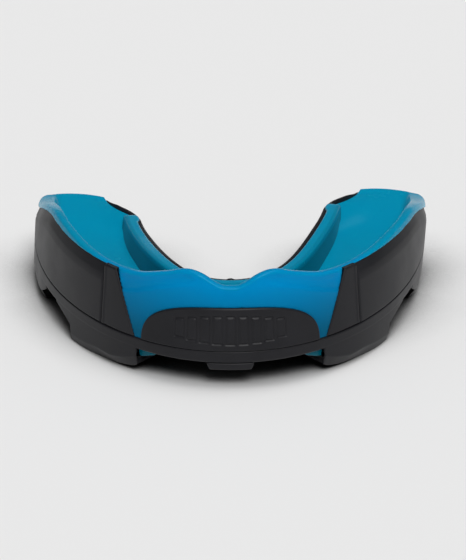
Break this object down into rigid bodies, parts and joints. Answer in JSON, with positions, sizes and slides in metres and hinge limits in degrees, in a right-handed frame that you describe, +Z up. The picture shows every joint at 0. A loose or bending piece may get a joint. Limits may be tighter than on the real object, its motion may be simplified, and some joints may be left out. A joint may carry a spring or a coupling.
{
  "type": "sports mouthguard",
  "caption": "U-shaped two-tone upper mouthguard: blue gel tooth channel in a black rubber frame with side panels, lip plate, bite rail and pads.",
  "frame": {"origin": "on the surface the guard stands on, under the middle of its bounding box", "axes": "+Z up towards the gums, -Y towards the lips, +X the wearer's left"},
  "size_m": [0.0668, 0.051, 0.019],
  "materials": {
    "blue_gel": "satin translucent blue gel rubber",
    "black_rubber": "satin black moulded rubber"
  },
  "bodies": {
    "root": {"gel_liner": "blue_gel", "bite_rail": "black_rubber", "inner_rim": "black_rubber", "front_lip_plate": "black_rubber", "front_foot": "black_rubber", "cheek_panel_left": "black_rubber", "cheek_panel_right": "black_rubber", "canine_guard_left": "black_rubber", "canine_guard_right": "black_rubber", "canine_pad_left": "black_rubber", "canine_pad_right": "black_rubber", "molar_pad_left": "black_rubber", "molar_pad_right": "black_rubber"}
  },
  "joints": []
}
